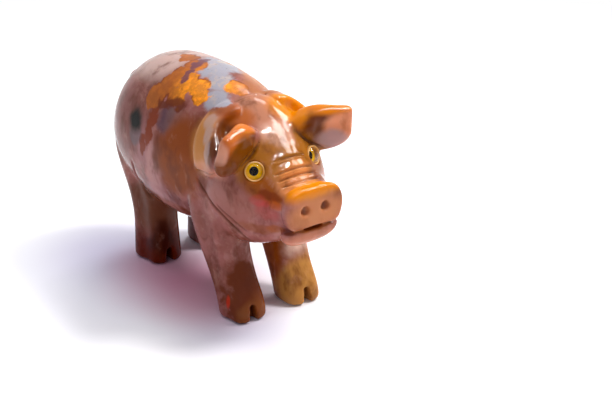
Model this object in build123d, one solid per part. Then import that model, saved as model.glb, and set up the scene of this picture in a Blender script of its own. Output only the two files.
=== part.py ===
"""Carved stone pig ornament with inset glass eyes.

The pig is cut from one piece of banded stone and polished. Each eye is a small glass dome over an
iris and a pupil of coloured glass, set in a drilled socket with cement. Millimetres, +Z up. The pig
faces -Y, and the origin is on the surface that it stands on, under the middle of its length.
"""

from build123d import *

import os
from math import cos, radians, sin

# Overall sizes
LENGTH = 72.5  # nose to rump
BACK_HEIGHT = 52.5  # floor to the top of the back
BELLY_HEIGHT = 13.5  # floor to the lowest point of the belly
OVERRUN = 2.0  # how far a cutter runs past the face that it cuts

# Trunk
NECK_LAP = 5.5  # how far the back of the head lies inside the chest
TRUNK_WIDTH = 32.0
# from the rump: share of the length, of the width, of the height at the top, of the height below
TRUNK_SHARES = [
    (0.000, 0.20, 0.52, 0.36),
    (0.018, 0.44, 0.65, 0.25),
    (0.060, 0.66, 0.775, 0.145),
    (0.135, 0.83, 0.88, 0.075),
    (0.260, 0.96, 0.965, 0.045),
    (0.420, 1.00, 1.00, 0.00),
    (0.600, 0.985, 1.005, 0.01),
    (0.780, 0.91, 0.985, 0.05),
    (0.920, 0.84, 0.935, 0.13),
    (1.000, 0.78, 0.89, 0.20),
]

# Head, from the flat nose disc to the neck
HEAD_LENGTH = 27.0
HEAD_WIDTH = 26.0
POLL_HEIGHT = 50.3  # floor to the top of the head
CHIN_HEIGHT = 17.0  # floor to the lowest point of the jowls
# from the nose: share of the length, heights of chin and brow, then widths of foot, jowl, cheek, crown
HEAD_SHARES = [
    (0.000, 0.322, 0.577, 0.462, 0.530, 0.545, 0.432),
    (0.020, 0.315, 0.584, 0.480, 0.553, 0.570, 0.453),
    (0.047, 0.313, 0.586, 0.484, 0.560, 0.578, 0.458),
    (0.107, 0.313, 0.575, 0.460, 0.545, 0.558, 0.415),
    (0.185, 0.275, 0.585, 0.430, 0.552, 0.580, 0.370),
    (0.260, 0.190, 0.640, 0.390, 0.590, 0.645, 0.360),
    (0.360, 0.115, 0.710, 0.425, 0.680, 0.750, 0.380),
    (0.500, 0.060, 0.815, 0.510, 0.820, 0.920, 0.520),
    (0.670, 0.015, 0.930, 0.575, 0.930, 1.000, 0.600),
    (0.850, 0.000, 1.000, 0.590, 0.950, 0.980, 0.580),
    (1.000, 0.020, 0.970, 0.500, 0.800, 0.850, 0.450),
]
# how far up a ring of the head these places are
FOOT_SHARE, JOWL_SHARE, CHEEK_SHARE, CROWN_SHARE = 0.05, 0.28, 0.55, 0.90

# Nostrils
NOSTRIL_SPREAD = 2.6  # middle of the nose to the middle of a nostril
NOSTRIL_HEIGHT = 31.6
NOSTRIL_DIAMETER = 2.3
NOSTRIL_DEPTH = 1.6

# Lower jaw
LIP_HEIGHT = 26.5
LIP_SETBACK = 0.7  # behind the nose
JAW_WIDTH = 14.4
JAW_LENGTH = 11.0
JAW_DEPTH = 4.4
# down from the lip: share of the depth, of the width, of the length
JAW_SHARES = [(0.00, 1.00, 1.00), (0.25, 1.00, 0.99), (0.65, 0.84, 0.92), (1.00, 0.48, 0.74)]
# around half a ring of the jaw, from the lip to the throat: share of the half width, of the length
JAW_RING_SHARES = [(0.64, 0.02), (0.95, 0.09), (1.00, 0.17), (0.72, 0.42), (0.42, 0.75)]

# Legs
FOOT_SPREAD = 7.5  # middle of the pig to the middle of a foot
FOOT_WIDTH = 9.4
FOOT_LENGTH = 10.2
FRONT_FOOT_SETBACK = 18.6  # nose to the middle of the foot
REAR_FOOT_INSET = 15.0  # rump to the middle of the foot
LEG_TOP_SHARE = 0.61  # how far up the trunk a leg ends inside it
LEG_CORNER_SHARE = 0.80
# up the leg: share of the height, shift outwards and back as shares of the foot, then width and length
FRONT_LEG_SHARES = [
    (0.00, 0.00, 0.00, 0.96, 0.96),
    (0.108, 0.00, 0.08, 0.99, 0.98),
    (0.282, 0.01, 0.41, 0.98, 0.96),
    (0.515, 0.05, 0.72, 1.07, 1.22),
    (0.78, 0.05, 0.95, 1.04, 1.22),
    (1.00, 0.00, 1.15, 0.80, 1.00),
]
REAR_LEG_SHARES = [
    (0.00, 0.00, -0.07, 0.99, 1.15),
    (0.108, 0.00, -0.06, 0.96, 1.14),
    (0.282, 0.00, -0.04, 0.93, 1.08),
    (0.515, 0.03, 0.03, 1.01, 1.28),
    (0.73, 0.08, 0.16, 1.14, 1.52),
    (1.00, 0.02, 0.05, 0.85, 1.20),
]
SOLE_ROUND = 1.2  # rounding of the edge around a sole
CLEFT_WIDTH = 2.2  # at the sole
CLEFT_TOP_WIDTH = 1.6
CLEFT_HEIGHT = 4.1
CLEFT_DEPTH = 3.0

# Ears
EAR_ROOT_SHARE = 0.66  # of half the head's width: where the leaf leaves the head
EAR_REACH = 8.8  # root to tip, sideways
EAR_FORWARD = 5.0  # root to tip, towards the nose
EAR_SETBACK = 15.6  # nose to the root
EAR_DROP = 6.9  # top of the head to the middle of the leaf
EAR_TALL = 10.6
EAR_THICK = 3.0
EAR_LEAN_SHARE = 0.33  # forward lean of the leaf for its rise
EAR_CORNER_SHARE = 0.84
# outwards from inside the head: share of the way, of the height, of the thickness, lift for the height
EAR_LEAF_SHARES = [
    (-0.40, 0.74, 2.00, -0.12),
    (0.00, 1.04, 1.75, -0.05),
    (0.40, 1.12, 1.25, -0.02),
    (0.75, 1.00, 1.00, 0.02),
    (0.92, 0.84, 0.85, 0.08),
    (1.00, 0.62, 0.55, 0.13),
]
LOBE_SETBACK = 27.4  # nose to the rear edge of the lobe
LOBE_LENGTH = 11.2
LOBE_TALL = 15.6
LOBE_THICK = 4.4
LOBE_SPREAD = 12.6  # middle of the pig to the middle of the lobe
LOBE_CORNER_SHARE = 0.88
# from the top: share of the height, of the spread, of the length, of the thickness
LOBE_SHARES = [
    (0.16, 0.28, 0.42, 0.60),
    (0.20, 0.60, 0.55, 0.85),
    (0.40, 0.86, 0.68, 1.00),
    (0.66, 0.98, 1.00, 1.00),
    (0.88, 0.98, 0.80, 0.85),
    (1.00, 0.94, 0.50, 0.50),
]

# Tail, a curl in relief on the rump
TAIL_HEIGHT = 42.0  # floor to the middle of the tail
TAIL_RISE = 3.4  # middle of the tail up to its root
TAIL_DIAMETER = 2.0
TAIL_SINK = 0.5  # depth of the tail's middle line under the rump
TAIL_ROOT_RADIUS = 6.0
TAIL_ROOT_SWEEP = 45.0  # degrees of the bend at the root
TAIL_CURL_RADIUS = 1.9
TAIL_CURL_SWEEP = 250.0  # degrees of the curl

# Eyes
EYE_SPREAD = 7.5  # middle of the pig to the middle of an eye
EYE_SETBACK = 12.6  # nose to an eye
EYE_HEIGHT = 37.9
EYE_TURN = 23.0  # degrees outwards from straight ahead
EYE_RISE = 17.5  # degrees upwards
SOCKET_DIAMETER = 4.4
SOCKET_DEPTH = 2.2
CEMENT_WALL = 0.3
CEMENT_FLOOR = 0.5
IRIS_THICK = 0.5
PUPIL_DIAMETER = 2.05
GLASS_EDGE = 1.0  # thickness of the glass at its rim
GLASS_CROWN = 0.8  # further rise of the glass to its middle


def along(behind_nose):
    """The Y of a place that far behind the nose."""
    return behind_nose - LENGTH / 2


def cross_plane(behind_nose, height=0):
    """A plane across the pig: its x is the pig's left and its y is up."""
    return Plane(origin=(0, along(behind_nose), height), x_dir=(1, 0, 0), z_dir=(0, -1, 0))


def between(low, high, share):
    return low + (high - low) * share


def both(left):
    """A left piece and its mirror image on the right."""
    return [left, mirror(left, about=Plane.YZ)]


def soft_ring(width, height, corner_share):
    """A closed curve between an ellipse, at a corner share of 0.71, and a rectangle, at 1."""
    x, y = width / 2, height / 2
    half = [(x, 0), (x * corner_share, y * corner_share), (0, y), (-x * corner_share, y * corner_share)]
    return make_face(Spline(*half, *[(-px, -py) for px, py in half], periodic=True))


def mirrored_ring(low, side, high):
    """A closed curve up the left side of a ring and down its mirror image."""
    ends = [(1, 0), (-1, 0)]
    left = Spline((0, low), *side, (0, high), tangents=ends, tangent_scalars=[1, 1])
    return make_face(Wire([left.edge(), mirror(left, about=Plane.YZ).edge()]))


def trunk():
    """The barrel of the body, from the rump to the chest."""
    length = LENGTH - HEAD_LENGTH + NECK_LAP
    rings = []
    for length_share, width_share, top_share, bottom_share in TRUNK_SHARES:
        top = between(BELLY_HEIGHT, BACK_HEIGHT, top_share)
        bottom = between(BELLY_HEIGHT, BACK_HEIGHT, bottom_share)
        plane = cross_plane(LENGTH - length_share * length, (top + bottom) / 2)
        rings.append(plane * Ellipse(TRUNK_WIDTH * width_share / 2, (top - bottom) / 2))
    return loft(rings)


def head():
    """The head and its snout, wide at the cheeks and narrow at the crown."""
    rings = []
    half = HEAD_WIDTH / 2
    for length_share, chin_share, brow_share, *width_shares in HEAD_SHARES:
        chin = between(CHIN_HEIGHT, POLL_HEIGHT, chin_share)
        brow = between(CHIN_HEIGHT, POLL_HEIGHT, brow_share)
        heights = (FOOT_SHARE, JOWL_SHARE, CHEEK_SHARE, CROWN_SHARE)
        side = [(half * wide, between(chin, brow, high)) for wide, high in zip(width_shares, heights)]
        rings.append(cross_plane(HEAD_LENGTH * length_share) * mirrored_ring(chin, side, brow))
    return loft(rings)


def nostril():
    """The drill for the left nostril, with a round nose."""
    radius = NOSTRIL_DIAMETER / 2
    straight = NOSTRIL_DEPTH - radius
    drill = Pos(0, 0, OVERRUN / 2 - straight / 2) * Cylinder(radius, straight + OVERRUN)
    drill = drill + Pos(0, 0, -straight) * Sphere(radius)
    return cross_plane(0, NOSTRIL_HEIGHT) * Pos(NOSTRIL_SPREAD, 0, 0) * drill


def jaw():
    """The lower jaw, a spoon-shaped shelf under the snout that narrows towards the throat."""
    rings = []
    back = along(LIP_SETBACK + JAW_LENGTH)
    for depth_share, width_share, length_share in JAW_SHARES:
        half = JAW_WIDTH * width_share / 2
        front = back - JAW_LENGTH * length_share
        side = [(half * x_share, between(front, back, y_share)) for x_share, y_share in JAW_RING_SHARES]
        place = Pos(0, 0, LIP_HEIGHT - JAW_DEPTH * depth_share)
        rings.append(place * mirrored_ring(front, side, back))
    return loft(rings)


def leg(setback, shares):
    """The left leg of a pair, from its sole up into the trunk, with its cloven toe."""
    height = between(BELLY_HEIGHT, BACK_HEIGHT, LEG_TOP_SHARE)
    rings = []
    for height_share, out_share, back_share, width_share, length_share in shares:
        x = FOOT_SPREAD + FOOT_WIDTH * out_share
        y = along(setback + FOOT_LENGTH * back_share)
        ring = soft_ring(FOOT_WIDTH * width_share, FOOT_LENGTH * length_share, LEG_CORNER_SHARE)
        rings.append(Pos(x, y, height * height_share) * ring)
    half, top = CLEFT_WIDTH / 2, CLEFT_TOP_WIDTH / 2
    crook = CLEFT_HEIGHT - top
    sides = Polyline((top, crook), (half, 0), (half, -OVERRUN), (-half, -OVERRUN), (-half, 0), (-top, crook))
    notch = make_face(Wire([*sides.edges(), RadiusArc(sides @ 1, sides @ 0, top).edge()]))
    plane = cross_plane(setback - FOOT_LENGTH / 2 + CLEFT_DEPTH)
    cleft = extrude(plane * Pos(FOOT_SPREAD, 0) * notch, CLEFT_DEPTH + OVERRUN)
    shaft = loft(rings)
    shaft = fillet(shaft.edges().group_by(Axis.Z)[0], SOLE_ROUND)
    return shaft - cleft


def ear_leaf():
    """The front leaf of the left ear, standing out and forward from the side of the head."""
    root = Vector(HEAD_WIDTH / 2 * EAR_ROOT_SHARE, along(EAR_SETBACK), POLL_HEIGHT - EAR_DROP)
    way = Vector(EAR_REACH, -EAR_FORWARD, 0)
    rise = Vector(0, -EAR_LEAN_SHARE, 1)
    upright = rise - way * (rise.dot(way) / way.dot(way))
    rings = []
    for way_share, tall_share, thick_share, lift_share in EAR_LEAF_SHARES:
        plane = Plane(origin=root + way * way_share, x_dir=upright, z_dir=way)
        ring = soft_ring(EAR_TALL * tall_share, EAR_THICK * thick_share, EAR_CORNER_SHARE)
        rings.append(plane * Pos(EAR_TALL * lift_share, 0, 0) * ring)
    return loft(rings)


def ear_lobe():
    """The rear lobe of the left ear, a pad that lies along the side of the head."""
    middles = []
    for tall_share, spread_share, length_share, _ in LOBE_SHARES:
        y = along(LOBE_SETBACK - LOBE_LENGTH * length_share / 2)
        middles.append(Vector(LOBE_SPREAD * spread_share, y, POLL_HEIGHT - LOBE_TALL * tall_share))
    rings = []
    for i, (_, _, length_share, thick_share) in enumerate(LOBE_SHARES):
        run = middles[min(i + 1, len(middles) - 1)] - middles[max(i - 1, 0)]
        plane = Plane(origin=middles[i], x_dir=(0, 1, 0), z_dir=(run.X, 0, run.Z))
        long, thick = LOBE_LENGTH * length_share, LOBE_THICK * thick_share
        rings.append(plane * soft_ring(long, thick, LOBE_CORNER_SHARE))
    return loft(rings)


def skin(solid, place, look):
    """Point and normal where a line through a place, looking outwards, leaves a solid."""
    hits = solid.shell().find_intersection_points(Axis(place, look))
    return max(hits, key=lambda hit: hit[0].dot(look))


def tail(barrel):
    """The curled tail, half sunk in the rump."""
    middle, normal = skin(barrel, (0, 0, TAIL_HEIGHT), Vector(0, 1, 0))
    plane = Plane(origin=middle - normal * TAIL_SINK, x_dir=(-1, 0, 0), z_dir=normal)
    bend = JernArc((0, TAIL_RISE), (0, -1), TAIL_ROOT_RADIUS, TAIL_ROOT_SWEEP)
    curl = JernArc(bend @ 1, bend % 1, TAIL_CURL_RADIUS, TAIL_CURL_SWEEP)
    path = plane * Wire([bend.edge(), curl.edge()])
    return sweep(Plane(origin=path @ 0, z_dir=path % 0) * Circle(TAIL_DIAMETER / 2), path)


def eye_plane(skull):
    """The left eye's seat: on the head, with its z the way that the eye looks."""
    turn, rise = radians(EYE_TURN), radians(EYE_RISE)
    look = Vector(sin(turn) * cos(rise), -cos(turn) * cos(rise), sin(rise))
    seat, _ = skin(skull, (EYE_SPREAD, along(EYE_SETBACK), EYE_HEIGHT), look)
    return Plane(origin=seat, z_dir=look)


def disc(radius, low, high):
    """A round piece about the eye's own z."""
    return Pos(0, 0, (low + high) / 2) * Cylinder(radius, high - low)


def eye_pieces():
    """Cement, iris, pupil and glass of one eye, with the stone's surface at z = 0."""
    eye_radius = SOCKET_DIAMETER / 2 - CEMENT_WALL
    bed = CEMENT_FLOOR - SOCKET_DEPTH
    back = bed + IRIS_THICK
    rim = back + GLASS_EDGE
    cup = disc(SOCKET_DIAMETER / 2, -SOCKET_DEPTH, 0) - disc(eye_radius, bed, OVERRUN)
    pupil = disc(PUPIL_DIAMETER / 2, bed, back)
    iris = disc(eye_radius, bed, back) - pupil
    dome_radius = (eye_radius**2 + GLASS_CROWN**2) / (2 * GLASS_CROWN)
    dome = Pos(0, 0, rim + GLASS_CROWN - dome_radius) * Sphere(dome_radius)
    glass = disc(eye_radius, back, rim + GLASS_CROWN) & dome
    return {"cement": cup, "iris": iris, "pupil": pupil, "glass": glass}


def carved_body(skull, socket):
    """The stone: every form of the pig in one piece, with the drilled nostrils and eye sockets."""
    barrel = trunk()
    stone = barrel + skull + jaw() + tail(barrel)
    pairs = [
        leg(FRONT_FOOT_SETBACK, FRONT_LEG_SHARES),
        leg(LENGTH - REAR_FOOT_INSET, REAR_LEG_SHARES),
        ear_leaf(),
        ear_lobe(),
    ]
    for left in pairs:
        for piece in both(left):
            stone = stone + piece
    for left in (nostril(), socket):
        for drill in both(left):
            stone = stone - drill
    return stone


skull = head()
seat = eye_plane(skull)
nodes = {"carved_body": carved_body(skull, seat * disc(SOCKET_DIAMETER / 2, -SOCKET_DEPTH, OVERRUN))}
for name, piece in eye_pieces().items():
    nodes[f"left_eye_{name}"], nodes[f"right_eye_{name}"] = both(seat * piece)

os.makedirs("parts", exist_ok=True)
for name, solid in nodes.items():
    export_step(solid, f"parts/{name}.step")
    print(name, round(solid.volume, 2))
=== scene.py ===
# %% [markdown]
# # A carved stone pig with glass eyes
# This file dresses a packed CAD part in Blender. The part is an ornament: one lump of banded agate, cut
# into a pig and polished, with two glass eyes cemented into drilled sockets. The CAD model fixes the sizes
# and the frame. Blender adds what a carver's small tools and the stone itself give it.
#
# We start by loading the frame. Everything here is in metres, and the pig stands on z = 0 and faces -Y.

import math

import bmesh
import bpy
import numpy as np
from mathutils import Matrix, Vector


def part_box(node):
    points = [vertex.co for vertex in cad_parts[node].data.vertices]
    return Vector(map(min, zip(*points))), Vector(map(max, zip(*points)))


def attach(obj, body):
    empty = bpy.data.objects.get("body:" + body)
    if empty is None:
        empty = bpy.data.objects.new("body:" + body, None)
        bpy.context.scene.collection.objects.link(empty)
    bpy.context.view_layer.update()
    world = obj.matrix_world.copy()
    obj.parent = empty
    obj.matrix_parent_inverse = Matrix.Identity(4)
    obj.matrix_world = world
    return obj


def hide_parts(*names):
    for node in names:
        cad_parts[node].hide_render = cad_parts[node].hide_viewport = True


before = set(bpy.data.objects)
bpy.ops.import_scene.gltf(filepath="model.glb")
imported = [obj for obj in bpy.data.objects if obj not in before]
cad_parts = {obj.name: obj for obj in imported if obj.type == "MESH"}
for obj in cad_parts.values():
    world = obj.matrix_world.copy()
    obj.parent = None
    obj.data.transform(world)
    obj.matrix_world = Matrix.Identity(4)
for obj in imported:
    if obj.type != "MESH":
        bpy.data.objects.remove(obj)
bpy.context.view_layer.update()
scene = bpy.context.scene
MM = 0.001
print("nodes:", sorted(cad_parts))

# %% [markdown]
# ## Small helpers
# Three jobs come up again and again: putting a thing into the scene, going between a mesh and a bmesh, and
# reading the mesh that a curve draws or a modifier makes. Doing them with bpy.ops would depend on what is
# selected, so each gets a short function that works on the data itself.

# %% Helpers for objects and meshes
def stand(name, data):
    """A new object in the scene, at the origin."""
    thing = bpy.data.objects.new(name, data)
    scene.collection.objects.link(thing)
    return thing


def opened(mesh):
    """A bmesh copy of a mesh."""
    form = bmesh.new()
    form.from_mesh(mesh)
    return form


def settled(form, name):
    """A new mesh from a bmesh, which is then freed."""
    mesh = bpy.data.meshes.new(name)
    form.to_mesh(mesh)
    form.free()
    return mesh


def finished(data, modifier=None, **settings):
    """The mesh that a curve draws, or that a mesh becomes under one modifier."""
    stand_in = stand("stand_in", data)
    if modifier:
        step = stand_in.modifiers.new("step", modifier)
        for name, value in settings.items():
            setattr(step, name, value)
    mesh = bpy.data.meshes.new_from_object(
        stand_in.evaluated_get(bpy.context.evaluated_depsgraph_get()))
    bpy.data.objects.remove(stand_in)
    return mesh


def triangles(mesh):
    return sum(len(face.vertices) - 2 for face in mesh.polygons)


print("triangles in the CAD stone:", triangles(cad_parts["carved_body"].data))

# %% [markdown]
# ## The camera
# The photographer stood in front of the pig and to its right, a little above it, with a long lens from
# about 37 cm. A camera can be aimed with a Track To constraint, but the picture also leans by a hair, so
# the camera's matrix is written out: its right, its up, and the way back from the view are the columns.

# %% Place the camera
AIM = Vector((24.143, 1.783, 12.246)) * MM
CAMERA_DISTANCE = 372.65 * MM
CAMERA_TURN, CAMERA_RISE, CAMERA_LEAN = (math.radians(angle) for angle in (35.174, 24.486, -0.386))
LENS_IN_PIXELS, FRAME_WIDTH, SENSOR_WIDTH = 1506.6, 612, 36

back = Vector((-math.sin(CAMERA_TURN) * math.cos(CAMERA_RISE),
               -math.cos(CAMERA_TURN) * math.cos(CAMERA_RISE),
               math.sin(CAMERA_RISE)))
level = (-back).cross(Vector((0, 0, 1))).normalized()
right = level * math.cos(CAMERA_LEAN) + level.cross(-back) * math.sin(CAMERA_LEAN)
camera_data = bpy.data.cameras.new("camera")
camera_data.sensor_width = SENSOR_WIDTH
camera_data.lens = SENSOR_WIDTH * LENS_IN_PIXELS / FRAME_WIDTH
camera = stand("camera", camera_data)
camera.matrix_world = Matrix.Translation(AIM + back * CAMERA_DISTANCE) @ Matrix(
    (right, back.cross(right), back)).transposed().to_4x4()
scene.camera = camera
print("camera at", [round(value, 3) for value in camera.location], "lens", round(camera_data.lens, 1))

# %% [markdown]
# ## The lamps
# The picture is high key: a white table under soft lamps. The key lamp stands high on the pig's left, so
# the shadow falls on our left, and a weaker one behind it lights the back. A broad lamp overhead lifts the
# rest, and a weak one on our left the shaded flank. That last one is hidden from reflections, or it would
# lay a haze over the dark stone.
#
# The bright lines on the forehead, the wrinkles and the ear are small lamps mirrored in the polish. Strong
# enough for that, they would bleach the stone, so three lamps are hidden from diffuse light: they show in
# the polish only, and the colours keep their level.

# %% Lamps
PIG_MIDDLE = Vector((0, 0, 0.03))
NEUTRAL, WARM, COOL = (1, 1, 1), (1, 0.98, 0.95), (0.97, 0.97, 1)
LAMPS = [  # name, place, width and height, watts, colour
    ("key_lamp", (0.37, -0.20, 0.53), (0.17, 0.17), 3.6, WARM),
    ("back_lamp", (0.34, 0.22, 0.54), (0.20, 0.12), 1.4, NEUTRAL),
    ("top_lamp", (0.02, 0.06, 0.68), (0.8, 0.8), 3.5, NEUTRAL),
    ("glint_lamp", (0.06, -0.27, 0.61), (0.40, 0.03), 10.0, NEUTRAL),
    ("rim_lamp", (0.53, -0.02, 0.41), (0.26, 0.14), 4.0, NEUTRAL),
    ("brow_lamp", (0.37, -0.20, 0.53), (0.15, 0.15), 1.0, NEUTRAL),
    ("side_lamp", (-0.55, -0.30, 0.30), (0.5, 0.5), 0.8, COOL),
]
POLISH_ONLY = ("glint_lamp", "rim_lamp", "brow_lamp")
COLOUR_ONLY = ("side_lamp",)

for name, where, size, watts, colour in LAMPS:
    lamp_data = bpy.data.lights.new(name, "AREA")
    lamp_data.shape = "RECTANGLE"
    (lamp_data.size, lamp_data.size_y), lamp_data.energy, lamp_data.color = size, watts, colour
    lamp = stand(name, lamp_data)
    lamp.location = where
    lamp.rotation_euler = (PIG_MIDDLE - Vector(where)).to_track_quat("-Z", "Y").to_euler()
    lamp.visible_diffuse = name not in POLISH_ONLY
    lamp.visible_glossy = name not in COLOUR_ONLY

# %% [markdown]
# ## Shader maths in Python
# A stone pattern takes a lot of small sums, and wiring Math nodes one at a time is hard to read. So a small
# class wraps a node's output socket, and Python's own operators add the Math nodes. `Nodes` is a node tree,
# and its `node` method makes any node, first setting its properties and then its sockets.

# %% Socket class and node maker
class Value:
    """A node's output, as a number that +, - and * work on."""

    def __init__(self, nodes, socket):
        self.nodes, self.socket = nodes, socket

    def _sum(self, operation, first, second):
        return self.nodes.node("ShaderNodeMath", {"operation": operation}, {0: first, 1: second})

    def __add__(self, other):
        return self._sum("ADD", self, other)

    def __sub__(self, other):
        return self._sum("SUBTRACT", self, other)

    def __mul__(self, other):
        return self._sum("MULTIPLY", self, other)

    def __rsub__(self, other):
        return self._sum("SUBTRACT", other, self)

    __radd__, __rmul__ = __add__, __mul__

    def most(self, other):
        return self._sum("MAXIMUM", self, other)


class Nodes:
    """A node tree that nodes are made in."""

    def __init__(self, tree):
        self.tree = tree

    def node(self, kind, settings, inputs, output=0):
        made = self.tree.nodes.new(kind)
        for name, value in settings.items():
            setattr(made, name, value)
        for name, value in inputs.items():
            if isinstance(value, Value):
                self.tree.links.new(value.socket, made.inputs[name])
            else:
                made.inputs[name].default_value = value
        return Value(self, made.outputs[output])

    def looked_along(self):
        """1 for a ray that we look along, straight, by a reflection or through glass, and 0 for others."""
        straight, mirrored, through = (self.node("ShaderNodeLightPath", {}, {}, f"Is {kind} Ray")
                                       for kind in ("Camera", "Glossy", "Transmission"))
        return straight.most(mirrored).most(through)

    def blend(self, share, first, second):
        """First shader where share is 0, second where it is 1."""
        return self.node("ShaderNodeMixShader", {}, {0: share, 1: first, 2: second})

    def show(self, shader, output="Material Output"):
        self.tree.links.new(shader.socket, self.tree.nodes[output].inputs["Surface"])


print("operators ready:", [name for name in vars(Value) if name.startswith("__r")])

# %% [markdown]
# ## The world
# The room around the pig gives a weak, slightly blue fill, which is what tints the shadow. A white
# background must not add light, so the Light Path node tells the rays that we look along from the rest:
# they see plain white, and all other light sees the fill.

# %% World
WHITE = (1, 1, 1, 1)
FILL_BLUE, FILL_STRENGTH = (0.92, 0.93, 1.0, 1), 0.25

world = bpy.data.worlds.new("studio")
scene.world = world
world.use_nodes = True
studio = Nodes(world.node_tree)
studio.tree.nodes.remove(studio.tree.nodes["Background"])
fill = studio.node("ShaderNodeBackground", {}, {"Color": FILL_BLUE, "Strength": FILL_STRENGTH})
backdrop = studio.node("ShaderNodeBackground", {}, {"Color": WHITE, "Strength": 1.0})
studio.show(studio.blend(studio.looked_along(), fill, backdrop), "World Output")
scene.view_settings.view_transform = "Standard"
print("world nodes:", len(studio.tree.nodes))

# %% [markdown]
# ## One class for every finish
# A finish is a material with a Principled shader and the nodes that feed it. Numbers that are the same all
# over go straight to the shader's sockets. The methods below are the few patterns that all finishes here
# are made from: places in millimetres, noise, a soft step and a mix of colours.

# %% Material maker
class Finish(Nodes):
    """A material with a Principled shader, and the nodes that feed it."""

    def __init__(self, name, **constants):
        self.material = bpy.data.materials.new(name)
        self.material.use_nodes = True
        super().__init__(self.material.node_tree)
        self.shader = self.tree.nodes["Principled BSDF"]
        for socket, value in constants.items():
            self.shader.inputs[socket.replace("_", " ")].default_value = value

    def feed(self, **sockets):
        for name, value in sockets.items():
            self.tree.links.new(value.socket, self.shader.inputs[name.replace("_", " ")])

    def places(self):
        """Object coordinates in millimetres."""
        here = self.node("ShaderNodeTexCoord", {}, {}, "Object")
        return self.vector("SCALE", here, scale=1 / MM)

    def vector(self, operation, first, second=None, scale=None):
        inputs = {0: first}
        if second is not None:
            inputs[1] = second
        if scale is not None:
            inputs["Scale"] = scale
        output = "Value" if operation == "LENGTH" else "Vector"
        return self.node("ShaderNodeVectorMath", {"operation": operation}, inputs, output)

    def distance(self, place, middle):
        return self.vector("LENGTH", self.vector("SUBTRACT", place, middle))

    def noise(self, place, size, detail=2.0, rough=0.5, output="Fac"):
        return self.node("ShaderNodeTexNoise", {}, {"Vector": place, "Scale": 1 / size, "Detail": detail,
                                                    "Roughness": rough}, output)

    def ease(self, value, low, high):
        """0 below low, 1 above high, and smooth between. Low may be above high."""
        if low > high:
            return 1 - self.ease(value, high, low)
        return self.node("ShaderNodeMapRange", {"interpolation_type": "SMOOTHSTEP"},
                         {"Value": value, "From Min": low, "From Max": high})

    def mix(self, share, first, second):
        """First colour where share is 0, second where it is 1."""
        return self.node("ShaderNodeMix", {"data_type": "RGBA"}, {0: share, 6: first, 7: second}, 2)


def tone(red, green, blue):
    """A colour as a screen shows it, 0 to 255, in the linear numbers that shaders use."""
    shares = [value / 255 for value in (red, green, blue)]
    return (*[s / 12.92 if s <= 0.04045 else ((s + 0.055) / 1.055) ** 2.4 for s in shares], 1)


print("orange in linear light:", [round(value, 3) for value in tone(214, 128, 34)])

# %% [markdown]
# ## The table
# The table is only a stage: a white sheet that catches the shadow. It is one large plane, a little off
# white. Around the pig the shadow is partly painted: lavender painted shadow spreads it wider at its edge,
# and close to the pig a rosy painted glow stands for light that has passed through the stone. Tracing that
# light through real glassy stone is slow, so these soft painted patches on the sheet stand for it.
# Away from the pig the sheet fades to plain white for the rays that we look along, like a paper roll.

# %% Floor
FLOOR_HALF_WIDTH = 3.0
MOTTLE_SIZE, PAPER_STARTS, PAPER_ENDS = 60.0, 110.0, 260.0
PAINTED_SHADOWS = [  # middle and reach in mm, share, colour
    # painted shadow, lavender, spreading the shadow around the pig
    ((-14, 14, 0), 46, 0.5, tone(206, 206, 236)),    # lavender edge
    ((-16, 30, 0), 26, 0.7, tone(190, 184, 212)),
    ((-11, -22, 0), 24, 0.6, tone(190, 184, 214)),
    # painted glow: rosy light through the stone, in the shadow close to the pig
    ((-9, 5, 0), 26, 0.9, tone(192, 124, 152)),      # rosy middle
    ((-11, -9, 0), 19, 0.55, tone(184, 104, 134)),
    ((-10, 18, 0), 17, 0.45, tone(184, 108, 138)),
]
floor_form = bmesh.new()
bmesh.ops.create_grid(floor_form, x_segments=2, y_segments=2, size=FLOOR_HALF_WIDTH)
floor = stand("table_top", settled(floor_form, "table_top"))

table_white = Finish("table_white", Roughness=0.6, Specular_IOR_Level=0.2)
table_place = table_white.places()
table_paint = table_white.mix(table_white.noise(table_place, MOTTLE_SIZE),
                              tone(246, 246, 250), tone(250, 250, 252))
for middle, reach, share, paint in PAINTED_SHADOWS:
    painted_shadow = table_white.ease(table_white.distance(table_place, middle), reach, 0)
    table_paint = table_white.mix(painted_shadow * share, table_paint, paint)
table_white.feed(Base_Color=table_paint)
far_off = table_white.ease(table_white.vector("LENGTH", table_place), PAPER_STARTS, PAPER_ENDS)
paper = table_white.node("ShaderNodeEmission", {}, {"Color": WHITE, "Strength": 1.0})
sheet = Value(table_white, table_white.shader.outputs["BSDF"])
table_white.show(table_white.blend(far_off * table_white.looked_along(), sheet, paper))
floor.data.materials.append(table_white.material)
print("floor", round(2 * FLOOR_HALF_WIDTH, 1), "m wide")

# %% [markdown]
# ## The stone, roughed out
# A carver starts from the rough form and works down. The CAD solid is our rough form: the right sizes, but
# with hard seams where its lofts meet. We could subdivide it, but CAD triangles are long and uneven. A voxel
# remesh of a merged copy gives even small faces instead, and a few rounds of smoothing then polish the seams
# the way a wheel does.

# %% Remesh and polish a copy of the CAD solid
VOXEL, MERGE = 0.30 * MM, 0.001 * MM
POLISH_ROUNDS, POLISH_PRESSURE = 4, 0.5

rough_form = opened(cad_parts["carved_body"].data)
bmesh.ops.remove_doubles(rough_form, verts=rough_form.verts, dist=MERGE)
even_mesh = finished(settled(rough_form, "rough_stone"), "REMESH", mode="VOXEL", voxel_size=VOXEL)
smooth_form = opened(even_mesh)
for _ in range(POLISH_ROUNDS):
    bmesh.ops.smooth_vert(smooth_form, verts=smooth_form.verts, factor=POLISH_PRESSURE,
                          use_axis_x=True, use_axis_y=True, use_axis_z=True)
smooth_mesh = settled(smooth_form, "smooth_stone")
print("stone faces:", len(smooth_mesh.polygons))

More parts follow.
